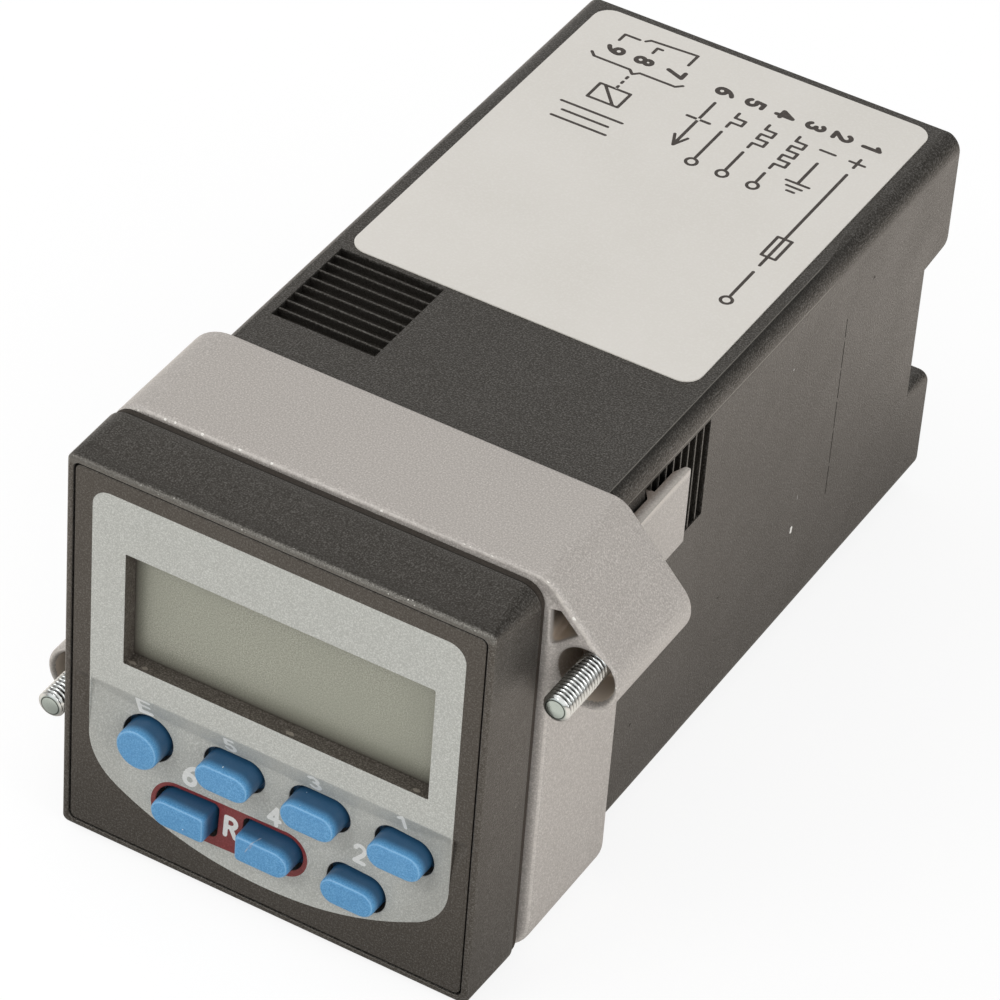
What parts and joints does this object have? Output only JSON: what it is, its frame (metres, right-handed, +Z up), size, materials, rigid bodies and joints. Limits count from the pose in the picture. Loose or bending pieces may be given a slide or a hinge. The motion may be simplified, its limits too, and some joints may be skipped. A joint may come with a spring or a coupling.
{
  "type": "panel-mounted speed display",
  "caption": "Square panel-mounted speed display with a wide window, raised keys in a shallow dish, a deep case with rear screw terminals and a ratcheting clamp frame.",
  "frame": {"origin": "centre of the square panel cut-out, in the plane of the bezel's rear face", "axes": "+Y points to the rear through the panel, so the front faces -Y; +X is to the right seen from the front; +Z is up"},
  "size_m": [0.0634, 0.0982, 0.048],
  "materials": {
    "front_bezel": "dark warm grey moulding, fine spark-eroded texture",
    "front_plate": "printed light grey field with a dark border",
    "lcd_glass": "grey-green unlit liquid crystal glass behind a polariser",
    "lcd_backlight": "white light guide",
    "lcd_holder": "black frame",
    "lcd_contact_strips": "striped conductive rubber",
    "key_plastic": "mid blue, satin",
    "switch_mat": "grey silicone rubber",
    "laminate": "green glass-fibre laminate",
    "panel_gasket": "black-brown sealing foam rubber",
    "case": "warm dark grey moulding, fine texture",
    "board_links": "black pin strips",
    "controller_chip": "black moulded package",
    "quartz": "plain metal can",
    "buffer_capacitor": "dark sleeve over a rolled can",
    "relay": "blue-grey sealed cover",
    "supply_coil": "dark ferrite bobbin with winding",
    "block_plastic": "green insulating moulding",
    "clamp_brass": "nickel-free brass",
    "terminal_steel": "bright zinc",
    "rating_label": "satin white film label with black print",
    "clamp_frame": "taupe grey moulding, satin",
    "zinc_screw": "bright zinc"
  },
  "bodies": {
    "housing": {"front_bezel": "front_bezel", "front_plate": "front_plate", "lcd_glass": "lcd_glass", "lcd_backlight": "lcd_backlight", "lcd_holder": "lcd_holder", "lcd_contact_strips": "lcd_contact_strips", "switch_mat": "switch_mat", "front_board": "laminate", "panel_gasket": "panel_gasket", "case": "case", "signal_board": "laminate", "relay_board": "laminate", "board_links": "board_links", "controller_chip": "controller_chip", "quartz": "quartz", "buffer_capacitor": "buffer_capacitor", "relay": "relay", "supply_coil": "supply_coil", "terminal_block_upper": "block_plastic", "terminal_block_lower": "block_plastic", "wire_clamps_upper": "clamp_brass", "wire_clamps_lower": "clamp_brass", "terminal_screws_upper": "terminal_steel", "terminal_screws_lower": "terminal_steel", "rating_label": "rating_label", "clamp_frame": "clamp_frame"},
    "key_e": {"key_e": "key_plastic"},
    "key_1": {"key_1": "key_plastic"},
    "key_2": {"key_2": "key_plastic"},
    "key_3": {"key_3": "key_plastic"},
    "key_4": {"key_4": "key_plastic"},
    "key_5": {"key_5": "key_plastic"},
    "key_6": {"key_6": "key_plastic"},
    "clamp_screw_right": {"clamp_screw_right": "zinc_screw"},
    "clamp_screw_left": {"clamp_screw_left": "zinc_screw"}
  },
  "joints": [
    {"name": "key_e_press", "type": "slide", "parent": "housing", "child": "key_e", "axis": [0, 1, 0], "range_m": [0, 0.0006], "stiffness_N_per_m": 3000, "springref_m": -0.0003},
    {"name": "key_1_press", "type": "slide", "parent": "housing", "child": "key_1", "axis": [0, 1, 0], "range_m": [0, 0.0006], "stiffness_N_per_m": 3000, "springref_m": -0.0003},
    {"name": "key_2_press", "type": "slide", "parent": "housing", "child": "key_2", "axis": [0, 1, 0], "range_m": [0, 0.0006], "stiffness_N_per_m": 3000, "springref_m": -0.0003},
    {"name": "key_3_press", "type": "slide", "parent": "housing", "child": "key_3", "axis": [0, 1, 0], "range_m": [0, 0.0006], "stiffness_N_per_m": 3000, "springref_m": -0.0003},
    {"name": "key_4_press", "type": "slide", "parent": "housing", "child": "key_4", "axis": [0, 1, 0], "range_m": [0, 0.0006], "stiffness_N_per_m": 3000, "springref_m": -0.0003},
    {"name": "key_5_press", "type": "slide", "parent": "housing", "child": "key_5", "axis": [0, 1, 0], "range_m": [0, 0.0006], "stiffness_N_per_m": 3000, "springref_m": -0.0003},
    {"name": "key_6_press", "type": "slide", "parent": "housing", "child": "key_6", "axis": [0, 1, 0], "range_m": [0, 0.0006], "stiffness_N_per_m": 3000, "springref_m": -0.0003},
    {"name": "clamp_screw_right_drive", "type": "slide", "parent": "housing", "child": "clamp_screw_right", "axis": [0, -1, 0], "range_m": [-0.009, 0.0027]},
    {"name": "clamp_screw_left_drive", "type": "slide", "parent": "housing", "child": "clamp_screw_left", "axis": [0, -1, 0], "range_m": [-0.009, 0.0027]}
  ]
}
